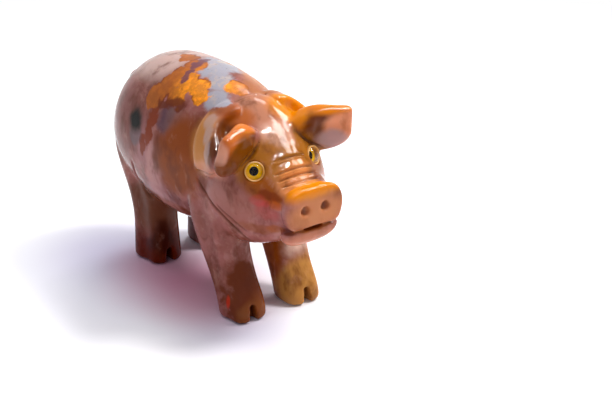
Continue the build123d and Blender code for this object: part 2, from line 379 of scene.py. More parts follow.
# %% [markdown]
# ## Carved lines
# The pig's character is in its cut lines: the wrinkles over the snout, the line of the jowl, the fold at the
# nape, the edges of the ears and the creases where the legs meet the belly. Cutting them with a Boolean
# would need one cutter per line. It is quicker to do what sculpting does: find the points near a path and
# push them in along their normals. First come the helpers: a smooth NURBS curve that follows a few places,
# and the distance of points from it.

# %% Path helpers
PATH_STEPS = 8


def smooth_path(places):
    """Points along a smooth curve that follows a few places."""
    curve = bpy.data.curves.new("path", "CURVE")
    curve.dimensions, curve.resolution_u = "3D", PATH_STEPS
    spline = curve.splines.new("NURBS")
    spline.points.add(len(places) - 1)
    for point, place in zip(spline.points, places):
        point.co = (*place, 1)
    spline.order_u, spline.use_endpoint_u = 3, True
    line = finished(curve)
    points = np.array([vertex.co for vertex in line.vertices])
    bpy.data.meshes.remove(line)
    return points


def nearest(points, path):
    """Distance of each point from the path, and how far along the path that is, 0 to 1."""
    best = np.full(len(points), np.inf)
    along = np.zeros(len(points))
    runs = np.linalg.norm(np.diff(path, axis=0), axis=1)
    starts = np.concatenate([[0], np.cumsum(runs)])
    for start, end, run, done in zip(path[:-1], path[1:], runs, starts):
        share = np.clip((points - start) @ (end - start) / run**2, 0, 1)
        gap = np.linalg.norm(points - start - share[:, None] * (end - start), axis=1)
        closer = gap < best
        best[closer] = gap[closer]
        along[closer] = (done + share[closer] * run) / starts[-1]
    return best, along


def around(points, path, reach):
    """Which points are in the path's own box, widened by a reach."""
    return np.all((points > path.min(0) - reach) & (points < path.max(0) + reach), axis=1)


print("a path of 4 places has", len(smooth_path([(0, 0, 0), (1, 0, 0), (2, 1, 0), (3, 1, 0)])), "points")

# %% [markdown]
# The lines themselves, as places on the surface in millimetres. A line on one ear or across the middle is
# written once. A paired line is written for the pig's right side, and the left side gets its mirror image.
# The snout's wrinkles are all one shape, moved along and stretched.

# %% Where the lines run
LINES = {
    "left_ear_hollow": [(8.6, -23.4, 44.6), (10.8, -24.6, 44.4), (13.0, -25.8, 44.2), (15.0, -26.8, 44.2)],
    "right_ear_trim": [(-13.6, -24.6, 39.2), (-15.6, -25.2, 39.8), (-16.8, -25.2, 40.8),
                       (-17.4, -25.0, 42.0)],
    "right_ear_pad": [(-8.0, -23.8, 45.2), (-9.8, -24.2, 43.6), (-11.8, -24.7, 42.2), (-13.6, -25.2, 41.0)],
    "nape": [(-4.6, -10.8, 49.2), (-2.6, -11.7, 50.0), (0, -12.4, 50.6), (2.6, -11.7, 50.0),
             (4.6, -10.8, 49.2)],
    "mouth": [(-6.9, -34.0, 27.2), (-5.6, -35.4, 27.0), (-3.0, -35.9, 26.95), (0, -36.0, 26.95),
              (3.0, -35.9, 26.95), (5.6, -35.4, 27.0), (6.9, -34.0, 27.2)],
}
PAIRED_LINES = {
    "jowl": [(-13.4, -9.6, 33.2), (-13.0, -10.6, 29.8), (-12.8, -14.0, 28.3), (-12.3, -17.6, 26.6),
             (-11.0, -19.9, 24.3), (-8.7, -21.3, 21.4), (-6.2, -21.6, 19.2)],
    "second_jowl": [(-12.9, -16.0, 28.7), (-12.3, -18.9, 27.5), (-11.0, -21.4, 25.6), (-9.3, -23.0, 23.6)],
    "under_ear": [(-13.6, -9.4, 35.0), (-14.1, -13.0, 35.4), (-14.3, -17.0, 36.2), (-13.6, -20.6, 37.6)],
    "ear_root": [(-4.2, -20.9, 45.6), (-5.2, -22.2, 43.4), (-7.6, -22.8, 41.0),
                 (-10.4, -23.1, 39.2), (-13.0, -22.6, 38.2)],
    "haunch": [(-15.4, 16.6, 29.4), (-14.6, 17.6, 25.6), (-12.9, 18.6, 21.6), (-11.8, 17.2, 18.8),
               (-10.6, 13.6, 17.0), (-9.0, 10.0, 16.0)],
    "elbow": [(-14.6, 3.6, 25.6), (-13.2, 2.6, 21.6), (-12.4, 0.8, 18.6), (-11.4, -1.2, 16.4)],
    "muzzle": [(-7.0, -32.6, 33.4), (-7.5, -33.0, 31.2), (-7.4, -33.0, 29.0), (-6.8, -32.8, 27.6)],
}
# a wrinkle's places: share of its half width, mm further back, mm higher
WRINKLE_FORM = [(-1, 0.8, -0.9), (-0.55, 0, 0), (0, -0.3, 0.2), (0.55, 0, 0), (1, 0.8, -0.9)]
# each wrinkle's y, z and half width
SNOUT_WRINKLES = [(-26.4, 40.3, 4.2), (-28.6, 38.4, 5.0), (-29.9, 37.4, 5.3), (-31.3, 36.5, 5.2),
                  (-32.9, 36.2, 5.4)]
print("lines written:", len(LINES) + len(PAIRED_LINES) + len(SNOUT_WRINKLES))

# %% [markdown]
# Each line has a tool: a width from the middle of the cut to its edge, a depth, and how dark the cut is
# painted: painted shade, with a little polishing dust.
# Depths are a few tenths of a millimetre: polished stone shows a shallow cut clearly, because its edge
# catches the light. A negative depth raises a low ridge. One runs just ahead of each wrinkle, which makes it
# look like a fold of skin and not like a scratch.

# %% Tools for the lines
CUTS = {"nape": (0.45, 0.5, 1), "mouth": (0.8, 0.8, 1), "jowl": (0.85, 0.8, 1), "second_jowl": (0.6, 0.55, 1),
        "under_ear": (0.7, 0.4, 1), "ear_root": (0.7, 0.5, 1), "haunch": (0.8, 0.5, 1),
        "elbow": (0.8, 0.45, 1), "muzzle": (1.1, 0.25, 0.4), "left_ear_hollow": (3.2, 0.6, 0),
        "right_ear_pad": (3.0, -0.8, 0), "right_ear_trim": (2.4, 0.8, 0)}
WRINKLE, FOLD, FOLD_AHEAD = (0.5, 0.5, 0.8), (0.6, -0.2, 0), 0.66

paths = [(smooth_path(places), *CUTS[name]) for name, places in LINES.items()]
for name, places in PAIRED_LINES.items():
    for side in (1, -1):
        paths.append((smooth_path([(side * x, y, z) for x, y, z in places]), *CUTS[name]))
for y, z, half in SNOUT_WRINKLES:
    across = np.array([(share * half, y + behind, z + rise) for share, behind, rise in WRINKLE_FORM])
    paths.append((smooth_path(across), *WRINKLE))
    paths.append((smooth_path(across - (0, FOLD_AHEAD, 0)), *FOLD))
print("lines:", len(paths))

# %% [markdown]
# A cut narrower than two faces would look like a saw blade. So the faces beside the lines are divided once
# more before cutting, and only those, which keeps the count low elsewhere.

# %% Finer faces beside the lines
FINE_REACH, FINE_WIDTH = 0.35, 1.0
fine_form = opened(smooth_mesh)
corners = np.array([vertex.co for vertex in fine_form.verts]) / MM
beside = np.zeros(len(corners), dtype=bool)
for path, width, *_ in paths:
    if width < FINE_WIDTH:
        close = np.flatnonzero(around(corners, path, width + FINE_REACH))
        beside[close] |= nearest(corners[close], path)[0] < width + FINE_REACH
fine_edges = [edge for edge in fine_form.edges if all(beside[vertex.index] for vertex in edge.verts)]
edge_count = len(fine_edges)
bmesh.ops.subdivide_edges(fine_form, edges=fine_edges, cuts=1, use_grid_fill=True, smooth=0.0)
carved_mesh = settled(fine_form, "carved_stone")
print("divided edges:", edge_count, "faces now:", len(carved_mesh.polygons))

# %% [markdown]
# Now the cutting. A narrow cut gets a sharp bottom, like the mark of a wheel's edge, and a wide hollow or a
# ridge gets a round one. Every line fades out towards its two ends. Moving thousands of points one by one is
# slow in Python, so NumPy moves them all at once. How deep each point was cut is kept on the mesh, because
# the finish will paint shade into the cuts.

# %% Cut the lines
FADE_SHARE, SHARPNESS = 0.15, 1.3
count = len(carved_mesh.vertices)
flat = np.empty(count * 3, dtype=np.float32)
carved_mesh.vertices.foreach_get("co", flat)
surface = flat.reshape(-1, 3).astype(float) / MM
carved_mesh.vertex_normals.foreach_get("vector", flat)
normals = flat.reshape(-1, 3).astype(float)
cut_depth = np.zeros(count)

for path, width, deep, shade in paths:
    close = np.flatnonzero(around(surface, path, width))
    gap, along = nearest(surface[close], path)
    ends = np.clip(np.minimum(along, 1 - along) / FADE_SHARE, 0, 1)
    near = np.clip(1 - gap / width, 0, 1)
    profile = near**SHARPNESS if width < FINE_WIDTH and deep > 0 else (near * (2 - near)) ** 2
    cut = profile * ends * (2 - ends) * deep
    surface[close] -= normals[close] * cut[:, None]
    cut_depth[close] = np.maximum(cut_depth[close], cut * shade)
carved_mesh.vertices.foreach_set("co", (surface * MM).ravel())
carved_mesh.attributes.new("cut_depth", "FLOAT", "POINT").data.foreach_set("value", cut_depth)
carved_mesh.update()
print("carved points:", int((cut_depth > 0).sum()), "of", count)

# %% [markdown]
# Small even faces were right for carving, but on the plain flanks most of them are wasted. A Decimate
# modifier merges faces where the surface is nearly flat and keeps them small where it bends. It also carries
# the cut depth over to the points that stay.

# %% Thin out the faces and finish the stone's mesh
FACE_BUDGET = 185000
stone_mesh = finished(carved_mesh, "DECIMATE", ratio=FACE_BUDGET / triangles(carved_mesh))
stone = stand("polished_stone", stone_mesh)
stone_mesh.polygons.foreach_set("use_smooth", [True] * len(stone_mesh.polygons))
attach(stone, "root")
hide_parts("carved_body")
print("stone triangles:", triangles(stone_mesh))

# %% [markdown]
# ## The stone's colours
# This agate runs from dusty mauve, through amber and honey, to an opaque orange, with a white vein over the
# shoulders. An image would have to be wrapped over ears and legs. A solid texture is truer: stone has its
# colour all through, and a cut just shows what is there. So each cloud, band or blot is a group of soft
# ellipsoids in the block, its edge broken up by noise, and they are laid over one another in turn.
#
# The stone reflects less than agate does, because a white room mirrored in it would hide the dark colours.

# %% The stone's finish and its noises
agate = Finish("banded_agate", Specular_IOR_Level=0.10, Coat_Weight=0.02, Coat_Roughness=0.05,
               Subsurface_Weight=0.3, Subsurface_Scale=0.003, Subsurface_Radius=(1.0, 0.45, 0.28))
place = agate.places()
HALF = (0.5, 0.5, 0.5)


def jitter(size, reach, detail=3.0):
    """The place, moved about by noise, so that what is drawn there gets an uneven edge."""
    wander = agate.vector("SUBTRACT", agate.noise(place, size, detail, output="Color"), HALF)
    return agate.vector("ADD", place, agate.vector("SCALE", wander, scale=reach))


cloudy, ragged, steady = jitter(8.0, 7.0), jitter(2.6, 3.6, 6.0), jitter(4.0, 1.6)
fine = agate.noise(place, 1.6, 6.0, 0.62)
broad = agate.noise(place, 12.0, 4.0, 0.55)
speck = agate.noise(place, 0.55, 4.0, 0.6)
print("noises ready, nodes so far:", len(agate.tree.nodes))

# %% [markdown]
# An ellipsoid's depth is 1 in its middle, 0 on its surface and negative outside. A soft step over that depth
# makes a cloud. A blot is the deepest of several ellipsoids, with fine noise added to tear its edge.

# %% Helpers for clouds and blots
CLOUD_BLUR = 0.35


def depth(middle, reach, where):
    """How deep a place lies in an ellipsoid. Sizes in mm."""
    off = agate.vector("DIVIDE", agate.vector("SUBTRACT", where, middle), reach)
    return 1 - agate.vector("LENGTH", off)


def cloud(middle, reach, where=cloudy):
    """A soft patch with a vague edge."""
    return agate.ease(depth(middle, reach, where), -CLOUD_BLUR, CLOUD_BLUR)


def group(parts):
    """How deep a place lies in the deepest of several ellipsoids."""
    deepest = depth(*parts[0], ragged)
    for part in parts[1:]:
        deepest = deepest.most(depth(*part, ragged))
    return deepest


def torn(depths, reach):
    """Depths with a ragged edge."""
    return depths + (fine - 0.5) * reach


class Paint:
    """Colours laid over one another, the last on top."""

    def __init__(self, ground):
        self.colour = ground

    def lay(self, share, colour):
        self.colour = agate.mix(share, self.colour, colour)

    def lay_clouds(self, rows, where=cloudy):
        """Clouds, each with a middle and a reach in mm, a share and a colour."""
        for middle, reach, share, colour in rows:
            self.lay(cloud(middle, reach, where) * share, colour)


print("helpers ready, a cloud fades out at", 1 + CLOUD_BLUR, "times its reach")

# %% [markdown]
# The ground colour comes first: mauve, drifting into rose brown, with pale flecks. Veils then run through the
# block. They are noise that is squeezed more one way than another, which is how layers in stone look.

# %% Ground colours
MAUVE, ROSE_BROWN, PALE = tone(148, 90, 86), tone(116, 60, 46), tone(170, 136, 124)
LIGHT_VEIL, DARK_VEIL = tone(172, 118, 110), tone(94, 48, 34)
VEIL_SQUEEZE = (0.30, 0.12, 0.22)

stone_paint = Paint(agate.mix(agate.ease(broad, 0.36, 0.64), MAUVE, ROSE_BROWN))
stone_paint.lay(agate.ease(fine, 0.5, 0.8) * 0.3, PALE)
veils = agate.noise(agate.vector("MULTIPLY", cloudy, VEIL_SQUEEZE), 1.0, 5.0, 0.6)
stone_paint.lay(agate.ease(veils, 0.52, 0.68) * 0.45, LIGHT_VEIL)
stone_paint.lay(agate.ease(veils, 0.46, 0.32) * 0.5, DARK_VEIL)
print("stone nodes with the ground:", len(agate.tree.nodes))

# %% [markdown]
# Over the ground go the clouds, which have no edge to speak of: pale over the rump, amber on the shoulder and
# the head, brown in the feet. Each has its place in the block, in millimetres. A few are painted light: a
# painted highlight on the forehead and over the wrinkles, and a painted red and orange glow by the mouth.

# %% Clouds on the trunk, the head and the legs
AMBER, BROW, UNDER_EYE = tone(128, 58, 6), tone(154, 94, 18), tone(140, 70, 4)
RED_FOOT, GOLD_FOOT = tone(88, 20, 0), tone(174, 120, 56)
stone_paint.lay_clouds([
    ((-3, 20, 52), (11.5, 10.5, 6), 0.9, tone(184, 154, 146)),        # top of the rump
    ((-16, 22, 38), (6, 9, 10), 0.7, tone(118, 68, 62)),              # side of the rump
    ((-16, 8.5, 31), (5, 5, 8), 0.85, tone(176, 126, 122)),           # flank
    ((-16, 12, 35), (5, 3, 6), 0.7, tone(140, 88, 90)),
    ((-15.5, 3, 34.5), (4, 3.4, 6), 0.8, tone(108, 50, 28)),
    ((-13, 4, 43.4), (4, 3.2, 3.6), 0.9, tone(84, 56, 68)),           # bluish place under the blot
    ((-12.6, 0.6, 43.6), (4, 4, 3.4), 0.6, tone(116, 82, 78)),
    ((-14, -4, 36), (6, 6.5, 10), 1.0, AMBER),                        # right shoulder
    ((-15, -1, 33), (5, 5, 7), 0.9, AMBER),
    ((15, 0, 38), (6, 14, 11), 0.8, AMBER),                           # left side
    ((14, 16, 30), (7, 8, 9), 0.6, ROSE_BROWN),
    ((-13, 9, 21.5), (5, 6, 3.6), 0.7, tone(178, 122, 116)),          # low on the belly
])
stone_paint.lay_clouds([
    ((0, -27, 41), (10, 9, 6.5), 0.9, BROW),                          # brows and bridge
    ((-9, -23, 40), (4, 5, 5), 0.9, BROW),
    ((9, -23, 40), (4, 5, 5), 0.9, BROW),
    ((0, -17.5, 49), (5.5, 7.5, 5), 0.9, tone(172, 112, 84)),         # forehead
    # painted highlight: a pale sheen low on the forehead
    ((-1, -22.4, 44.8), (4.2, 3.2, 2.8), 0.55, tone(206, 158, 140)),
    ((-8.5, -27.5, 35), (3.4, 5.5, 2.6), 0.95, UNDER_EYE),
    ((8.5, -27.5, 35), (3.4, 5.5, 2.6), 0.9, UNDER_EYE),
    ((-12, -20, 30), (5, 8, 5.5), 0.7, tone(156, 98, 90)),            # cheek
    # painted highlight: a pale peach sheen over the wrinkles
    ((0, -31.0, 38), (6.5, 3.4, 3.0), 0.75, tone(206, 128, 70)),      # between the wrinkles
    # painted glow: red light, then an orange glint, caught inside the stone by the mouth and under the eye
    ((-9, -29.5, 30.5), (3, 3.5, 2.2), 0.35, tone(176, 48, 44)),      # red glow by the mouth
    ((-7.0, -30.6, 33.4), (2.0, 2.4, 1.2), 0.55, tone(190, 78, 4)),
])
stone_paint.lay_clouds([
    ((9, 20, 6), (8, 9, 9), 0.85, RED_FOOT),                          # left rear foot
    ((-9, 18, 15), (7, 9, 7), 0.85, tone(98, 54, 30)),                # right rear leg
    ((-8, 18.5, 3), (5.6, 9, 7.5), 1.0, RED_FOOT),                    # right rear foot
    ((-9, 15.6, 7), (3.6, 3.6, 4.6), 0.85, tone(52, 10, 0)),          # its dark middle
    ((9, -15, 18), (4.5, 5, 9), 0.95, tone(212, 176, 158)),           # left front leg
    ((8, -20, 4), (7, 6, 7), 0.95, GOLD_FOOT),                        # left front foot
    ((3.2, -12, 12), (2.4, 5, 9), 0.95, tone(138, 66, 4)),            # left front leg, inside
])
print("stone nodes with clouds:", len(agate.tree.nodes))

# %% [markdown]
# Clouds alone would look airbrushed. So a mottle goes over them: dark wisps that stand upright, as the bands
# of this stone do, and thin pale ones. Both are noise that is stretched upwards.

# %% Wisps
DARK_WISP, PALE_WISP = tone(80, 32, 8), tone(196, 150, 136)
UPRIGHT, ELSEWHERE = (1.0, 1.0, 0.45), (40, 0, 0)
upright = agate.vector("MULTIPLY", jitter(5.0, 3.0), UPRIGHT)
wisps = agate.noise(upright, 3.6, 4.0, 0.55)
pale_wisps = agate.noise(agate.vector("ADD", upright, ELSEWHERE), 3.2, 6.0, 0.6)
stone_paint.lay(agate.ease(wisps, 0.46, 0.72) * 0.55, DARK_WISP)
stone_paint.lay(agate.ease(pale_wisps, 0.56, 0.76) * 0.22, PALE_WISP)
print("stone nodes with wisps:", len(agate.tree.nodes))

# %% [markdown]
# The snout and the ears are small and full of colour, so their clouds must sit just where the carving is.
# They use a place that noise moves much less, and a fainter mottle.

# %% Clouds on the snout and the ears
HONEY, PEACH, PAINTED_RED_GLOW = tone(208, 122, 2), tone(182, 116, 76), tone(196, 62, 60)
TAN, BLUSH, BAND = tone(184, 122, 58), tone(206, 140, 114), tone(172, 150, 148)
DEEP_AMBER, OLIVE, EAR_WISP = tone(100, 44, 2), tone(110, 56, 0), tone(104, 44, 4)
stone_paint.lay_clouds([
    ((0, -35.0, 36.6), (9, 3.0, 3.0), 1.0, HONEY),                    # top of the snout
    ((0, -37.2, 30.6), (8.6, 2.6, 4.4), 0.95, PEACH),                 # nose disc
    ((0, -34, 23.5), (8, 5, 3.2), 0.85, tone(184, 114, 86)),          # lower lip
    ((0, -35.6, 27.0), (7.4, 2.4, 0.8), 0.9, tone(146, 74, 12)),      # inside the lips
    ((-9, -26.5, 25.4), (4.2, 5.5, 1.5), 0.6, tone(130, 68, 36)),     # amber along the jaw
    ((-6.4, -30.4, 26.0), (2, 2.6, 1.2), 0.6, tone(152, 78, 32)),
    ((-7.4, -29.2, 34.0), (1.8, 3.8, 0.9), 0.8, tone(118, 42, 0)),    # amber edge under the eye
    # painted glow: red light caught inside the cheek
    ((-9.2, -27.2, 32.6), (2.4, 1.8, 1.2), 0.34, PAINTED_RED_GLOW),           # inside the cheek
    ((-8.4, -29.0, 32.2), (1.6, 1.0, 0.8), 0.3, PAINTED_RED_GLOW),
], steady)
stone_paint.lay_clouds([
    ((-13, -12, 42.5), (5, 5.0, 7.2), 0.85, TAN),                     # right ear, lobe
    ((-14, -15, 36.8), (4, 5, 1.9), 0.5, BLUSH),                      # its lower edge
    ((-7.2, -16.8, 48), (4.0, 3.6, 3.6), 0.95, tone(160, 78, 10)),    # right ear, inside
    ((-10, -16.4, 45), (2.6, 2.2, 3.6), 0.9, DEEP_AMBER),             # its deepest part
    ((-13.4, -17.4, 42.6), (2.2, 1.8, 4.2), 0.9, tone(86, 40, 14)),
    ((-11.2, -12.4, 46.8), (1.5, 1.6, 2.6), 0.5, BAND),               # pale band beside the lobe
    ((-12.8, -14.2, 44.4), (1.5, 1.3, 2.8), 0.6, BAND),
    ((-14.3, -15.6, 41.4), (1.5, 1.0, 3.0), 0.6, BAND),
    ((-7.6, -13.0, 49.2), (2.6, 2.0, 2.0), 0.8, tone(138, 66, 18)),   # amber behind the ear
    ((-10.5, -23.6, 48.6), (7, 4, 2.2), 1.0, tone(194, 106, 24)),     # right ear, rim
    ((-15.0, -25.4, 47.2), (4.4, 3, 3.2), 0.9, tone(176, 92, 30)),
    ((-10.6, -25.6, 43.6), (4.6, 3, 4.0), 0.95, OLIVE),               # right ear, face
    ((-15.0, -25.4, 40.8), (4.2, 3, 2.8), 0.85, tone(112, 60, 22)),
    ((-17.6, -25.6, 45.2), (1.8, 3, 2.8), 0.7, tone(200, 146, 124)),  # right ear, tip
    ((8, -16, 47.5), (7, 4.5, 4), 1.0, HONEY),                        # left ear, root
    ((6.5, -20.5, 47), (3, 4, 3), 0.95, HONEY),
    ((9.2, -24.2, 45.0), (2.8, 3, 3.0), 0.95, DEEP_AMBER),            # left ear, hollow
    ((14.2, -26, 43.6), (3.8, 4, 4.8), 0.85, tone(222, 142, 100)),    # left ear, tip
    ((12.4, -25, 40.8), (4, 3, 2.4), 0.8, tone(166, 136, 138)),       # its lower edge
    ((12.5, -24.4, 49.4), (7, 5, 2.2), 1.0, tone(200, 113, 6)),       # left ear, rim
], steady)
stone_paint.lay(agate.ease(wisps, 0.52, 0.74) * 0.22, EAR_WISP)
print("stone nodes with the ears:", len(agate.tree.nodes))

# %% [markdown]
# Now what has an edge. The white vein lies over the shoulders, with two tan clouds on its left. It isn't
# pure: tan wisps and grey specks lie inside it, which is where its depth is above 0.

# %% White vein
VEIN_WHITE, VEIN_TAN, VEIN_SPECK = tone(146, 142, 152), tone(190, 164, 140), tone(104, 86, 96)
stone_paint.lay_clouds([
    ((5, -8, 50), (6, 4.5, 4), 0.7, tone(170, 104, 56)),
    ((8, -1, 49.5), (4.5, 7, 5), 0.85, tone(174, 106, 48)),
])
vein = group([((-0.5, 2.5, 52.6), (4.2, 5.0, 3.2)), ((-2.6, -3.2, 51.4), (3.6, 4.4, 3.0)),
              ((-6.4, -7.0, 49.2), (3.4, 3.0, 3.2)), ((-6.6, -10.0, 49.8), (2.6, 2.2, 2.4)),
              ((2.6, 4.6, 52.3), (4.6, 6.4, 3.2))])
stone_paint.lay(agate.ease(torn(vein, 0.5), -0.12, 0.3), VEIN_WHITE)
inside_vein = agate.ease(vein, 0.05, 0.4)
stone_paint.lay(agate.ease(wisps, 0.5, 0.62) * inside_vein * 0.45, VEIN_TAN)
stone_paint.lay(agate.ease(speck, 0.62, 0.72) * inside_vein * 0.7, VEIN_SPECK)
print("stone nodes with the vein:", len(agate.tree.nodes))

# %% [markdown]
# The orange lies over the vein like a torn leaf, brightest near the head, with darker veins and specks. Its
# depth is 0 along its edge, so a dark rim is just the shallow part of it. Rusty brown hangs from it down the
# flank, a brown fringe lies along its lower edge, and a plum streak runs across it.

# %% Orange blots
DULL_ORANGE, BRIGHT_ORANGE, LEAF_VEIN = tone(166, 88, 20), tone(240, 146, 26), tone(120, 60, 16)
LEAF_SPECK, LEAF_RIM, RUST = tone(112, 58, 30), tone(112, 46, 10), tone(118, 40, 0)
FRINGE_BROWN, PLUM = tone(96, 32, 2), tone(94, 50, 64)
BRIGHT_MIDDLE, BRIGHT_FROM, BRIGHT_TO = (-6, -2, 51), 11.0, 5.0

orange = torn(group([
    ((-11.6, 10.2, 46.0), (3.0, 3.2, 3.2)), ((-9.3, 8.6, 48.6), (3.4, 3.6, 3.2)),
    ((-6.2, 7.8, 51.0), (3.0, 3.0, 2.8)), ((-1.2, 12.6, 52.6), (2.2, 3.0, 2.4)),
    ((-2.4, 7.0, 52.6), (2.6, 3.4, 2.4)), ((-7.2, 3.4, 50.2), (3.2, 3.0, 2.8)),
    ((-6.8, -0.6, 50.3), (3.0, 3.4, 2.8)), ((-8.0, -3.4, 49.0), (2.2, 2.4, 2.2)),
    ((-10.6, 3.4, 47.4), (2.6, 3.4, 2.2)), ((-1.2, -7.4, 51.2), (2.6, 3.2, 2.4)),
    ((7.0, 6.6, 50.7), (2.4, 2.2, 2.0)), ((9.0, -3.0, 48.6), (2.6, 3.6, 2.6))]), 0.55)
bright = agate.ease(agate.distance(place, BRIGHT_MIDDLE), BRIGHT_FROM, BRIGHT_TO)
glow = agate.mix(bright, DULL_ORANGE, BRIGHT_ORANGE)
leaf = agate.mix(agate.ease(fine, 0.42, 0.66), agate.mix(0.45, glow, LEAF_VEIN), glow)
leaf = agate.mix(agate.ease(speck, 0.64, 0.7) * 0.6, leaf, LEAF_SPECK)
rim = agate.ease(orange, 0.26, 0.04) * agate.ease(agate.noise(place, 4.0), 0.44, 0.6)
tongue = torn(group([((-12.6, 8.5, 45.0), (2.8, 1.7, 3.2)), ((-14.1, 8.0, 42.1), (2.8, 1.8, 3.6)),
                     ((-15.3, 8.7, 38.5), (2.8, 1.7, 4.2)), ((-16.0, 10.8, 34.8), (2.6, 1.4, 3.2))]), 0.7)
fringe = torn(group([((-12.0, 6.4, 45.4), (1.6, 2.2, 1.2)), ((-11.4, 4.2, 46.0), (1.8, 2.4, 1.1)),
                     ((-10.9, 1.4, 46.5), (1.8, 2.6, 1.1))]), 0.6)
streak = torn(group([((0.2, 8.2, 52.7), (1.7, 1.3, 1.5)), ((-2.5, 7.2, 52.5), (2.1, 1.3, 1.5)),
                     ((-5.2, 6.0, 51.6), (2.0, 1.3, 1.5)), ((-7.2, 4.9, 50.5), (1.6, 1.1, 1.4))]), 0.8)
stone_paint.lay(agate.ease(tongue, -0.1, 0.25) * 0.95, RUST)
stone_paint.lay(agate.ease(orange, -0.1, 0.08), agate.mix(rim * 0.9, leaf, LEAF_RIM))
stone_paint.lay(agate.ease(fringe, -0.3, 0.3) * 0.9, FRINGE_BROWN)
stone_paint.lay(agate.ease(streak, -0.2, 0.25) * 0.9, PLUM)
print("stone nodes with the orange:", len(agate.tree.nodes))

# %% [markdown]
# Three small marks are left. The right front foot is brown with a clear upper edge, like a sock, and amber at
# the toes, with a painted red glint that stands for light caught inside the stone. On the right flank is a
# black spot with a grey shade under it.

# %% Sock, painted glint and black spot
SOCK_BROWN, TOE_AMBER, PAINTED_RED_GLINT = tone(96, 36, 0), tone(130, 74, 30), tone(200, 40, 10)
SPOT_SHADE, SPOT_EDGE, SPOT_BLACK = tone(92, 84, 90), tone(50, 32, 24), tone(3, 2, 2)
sock = torn(group([((-7.4, -20.5, 3.0), (5.0, 6.5, 9.4)), ((-7.6, -17.0, 5.0), (4.6, 5.5, 8.6))]), 0.3)
stone_paint.lay(agate.ease(sock, -0.08, 0.1) * 0.95, SOCK_BROWN)
stone_paint.lay(cloud((-7, -23, 2.4), (6, 3, 4)) * 0.55, TOE_AMBER)
# painted glint: red light caught inside the foot
glint = depth((-12.0, -18.3, 4.8), (1.4, 0.7, 1.9), jitter(1.5, 0.8))
stone_paint.lay(agate.ease(glint, -0.2, 0.5) * 0.6, PAINTED_RED_GLINT)
stone_paint.lay(cloud((-16, 14.2, 36.2), (4, 2.6, 2.2)) * 0.6, SPOT_SHADE)
spot = depth((-15.6, 14.8, 39.6), (6.0, 3.0, 2.8), jitter(3.0, 2.2))
stone_paint.lay(agate.ease(spot, -0.4, 0.4) * 0.85, SPOT_EDGE)
stone_paint.lay(agate.ease(spot, -0.05, 0.55), SPOT_BLACK)
print("stone nodes with the marks:", len(agate.tree.nodes))

# %% [markdown]
# The depth of each cut, kept on the mesh as an attribute, darkens the colour there: painted shade in the
# cuts, with a little polishing dust. The gloss varies a touch too: the opaque orange takes less polish than
# the glassy parts. Hand polish is never quite flat, so very low waves bend the highlights.

# %% Finish the stone's material
CUT_SHADE_AND_DUST = tone(74, 32, 8)
POLISHED, UNEVEN, DULLER = 0.06, 0.06, 0.16
WAVE_SIZE, WAVE_HEIGHT = 3.0, 0.1 * MM
cut_shade_and_dust = agate.node("ShaderNodeAttribute", {"attribute_name": "cut_depth"}, {}, "Fac")
# painted shade in the cuts, with a little polishing dust, by how deep each was cut
stone_paint.lay(agate.ease(cut_shade_and_dust, 0.08, 0.5) * 0.75, CUT_SHADE_AND_DUST)
waves = agate.node("ShaderNodeBump", {}, {"Height": agate.noise(place, WAVE_SIZE), "Strength": 1.0,
                                          "Distance": WAVE_HEIGHT})
gloss = POLISHED + fine * UNEVEN + agate.ease(orange, 0, 0.2) * DULLER
agate.feed(Normal=waves, Base_Color=stone_paint.colour, Roughness=gloss)
stone_mesh.materials.clear()
stone_mesh.materials.append(agate.material)
print("stone material done,", len(agate.tree.nodes), "nodes")

# %% [markdown]
# ## The eyes
# Each eye is a little glass cabochon: a yellow iris with a black pupil, under a clear dome, bedded in pale
# cement. Round pieces are turned, so every one is a profile spun about the eye's own axis. The profile is a
# chain of radius and height in millimetres, and the spun piece is then moved to its seat, which the packed
# pupil tells us.

# %% Turning helper and the seats
EYE_TURN, EYE_RISE = math.radians(23.0), math.radians(17.5)
PUPIL_BELOW_STONE, EYE_MERGE = 1.45 * MM, 0.0005 * MM
TURN_STEPS = 64


def eye_seat(side):
    """The matrix from an eye's own frame, with the stone's surface at z = 0, to its place on the head."""
    low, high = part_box(f"{side}_eye_pupil")
    out = 1 if side == "left" else -1
    look = Vector((out * math.sin(EYE_TURN) * math.cos(EYE_RISE), -math.cos(EYE_TURN) * math.cos(EYE_RISE),
                   math.sin(EYE_RISE)))
    turn = look.to_track_quat("Z", "Y").to_matrix().to_4x4()
    return Matrix.Translation((low + high) / 2 + look * PUPIL_BELOW_STONE) @ turn


def turned(name, profile, seat, finish, node):
    """A piece spun from a profile of (radius, height) in mm, placed on a seat."""
    form = bmesh.new()
    chain = [form.verts.new((radius * MM, 0, height * MM)) for radius, height in profile]
    edges = [form.edges.new(pair) for pair in zip(chain[:-1], chain[1:])]
    bmesh.ops.spin(form, geom=chain + edges, axis=(0, 0, 1), cent=(0, 0, 0), angle=2 * math.pi,
                   steps=TURN_STEPS, use_merge=True)
    bmesh.ops.remove_doubles(form, verts=form.verts, dist=EYE_MERGE)
    bmesh.ops.recalc_face_normals(form, faces=form.faces)
    bmesh.ops.transform(form, matrix=seat, verts=form.verts)
    for face in form.faces:
        face.smooth = True
    piece = stand(name, settled(form, name))
    piece.data.materials.append(finish.material)
    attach(piece, "root")
    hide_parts(node)


print("left eye sits at", [round(value / MM, 2) for value in eye_seat("left").translation])

# %% [markdown]
# The eye's finishes. Iris, pupil and cement are two close tones each, mixed by small noise, because even a
# millimetre of glass or cement isn't one flat colour. The iris glows faintly: painted light, standing in for
# the light that the dome gathers onto the sunken iris.
# The dome is clear: light goes straight through, and a Fresnel node adds shine at the edge, on the outside
# only. Its index is lower than real glass has, so that the white room doesn't grey the pupil.

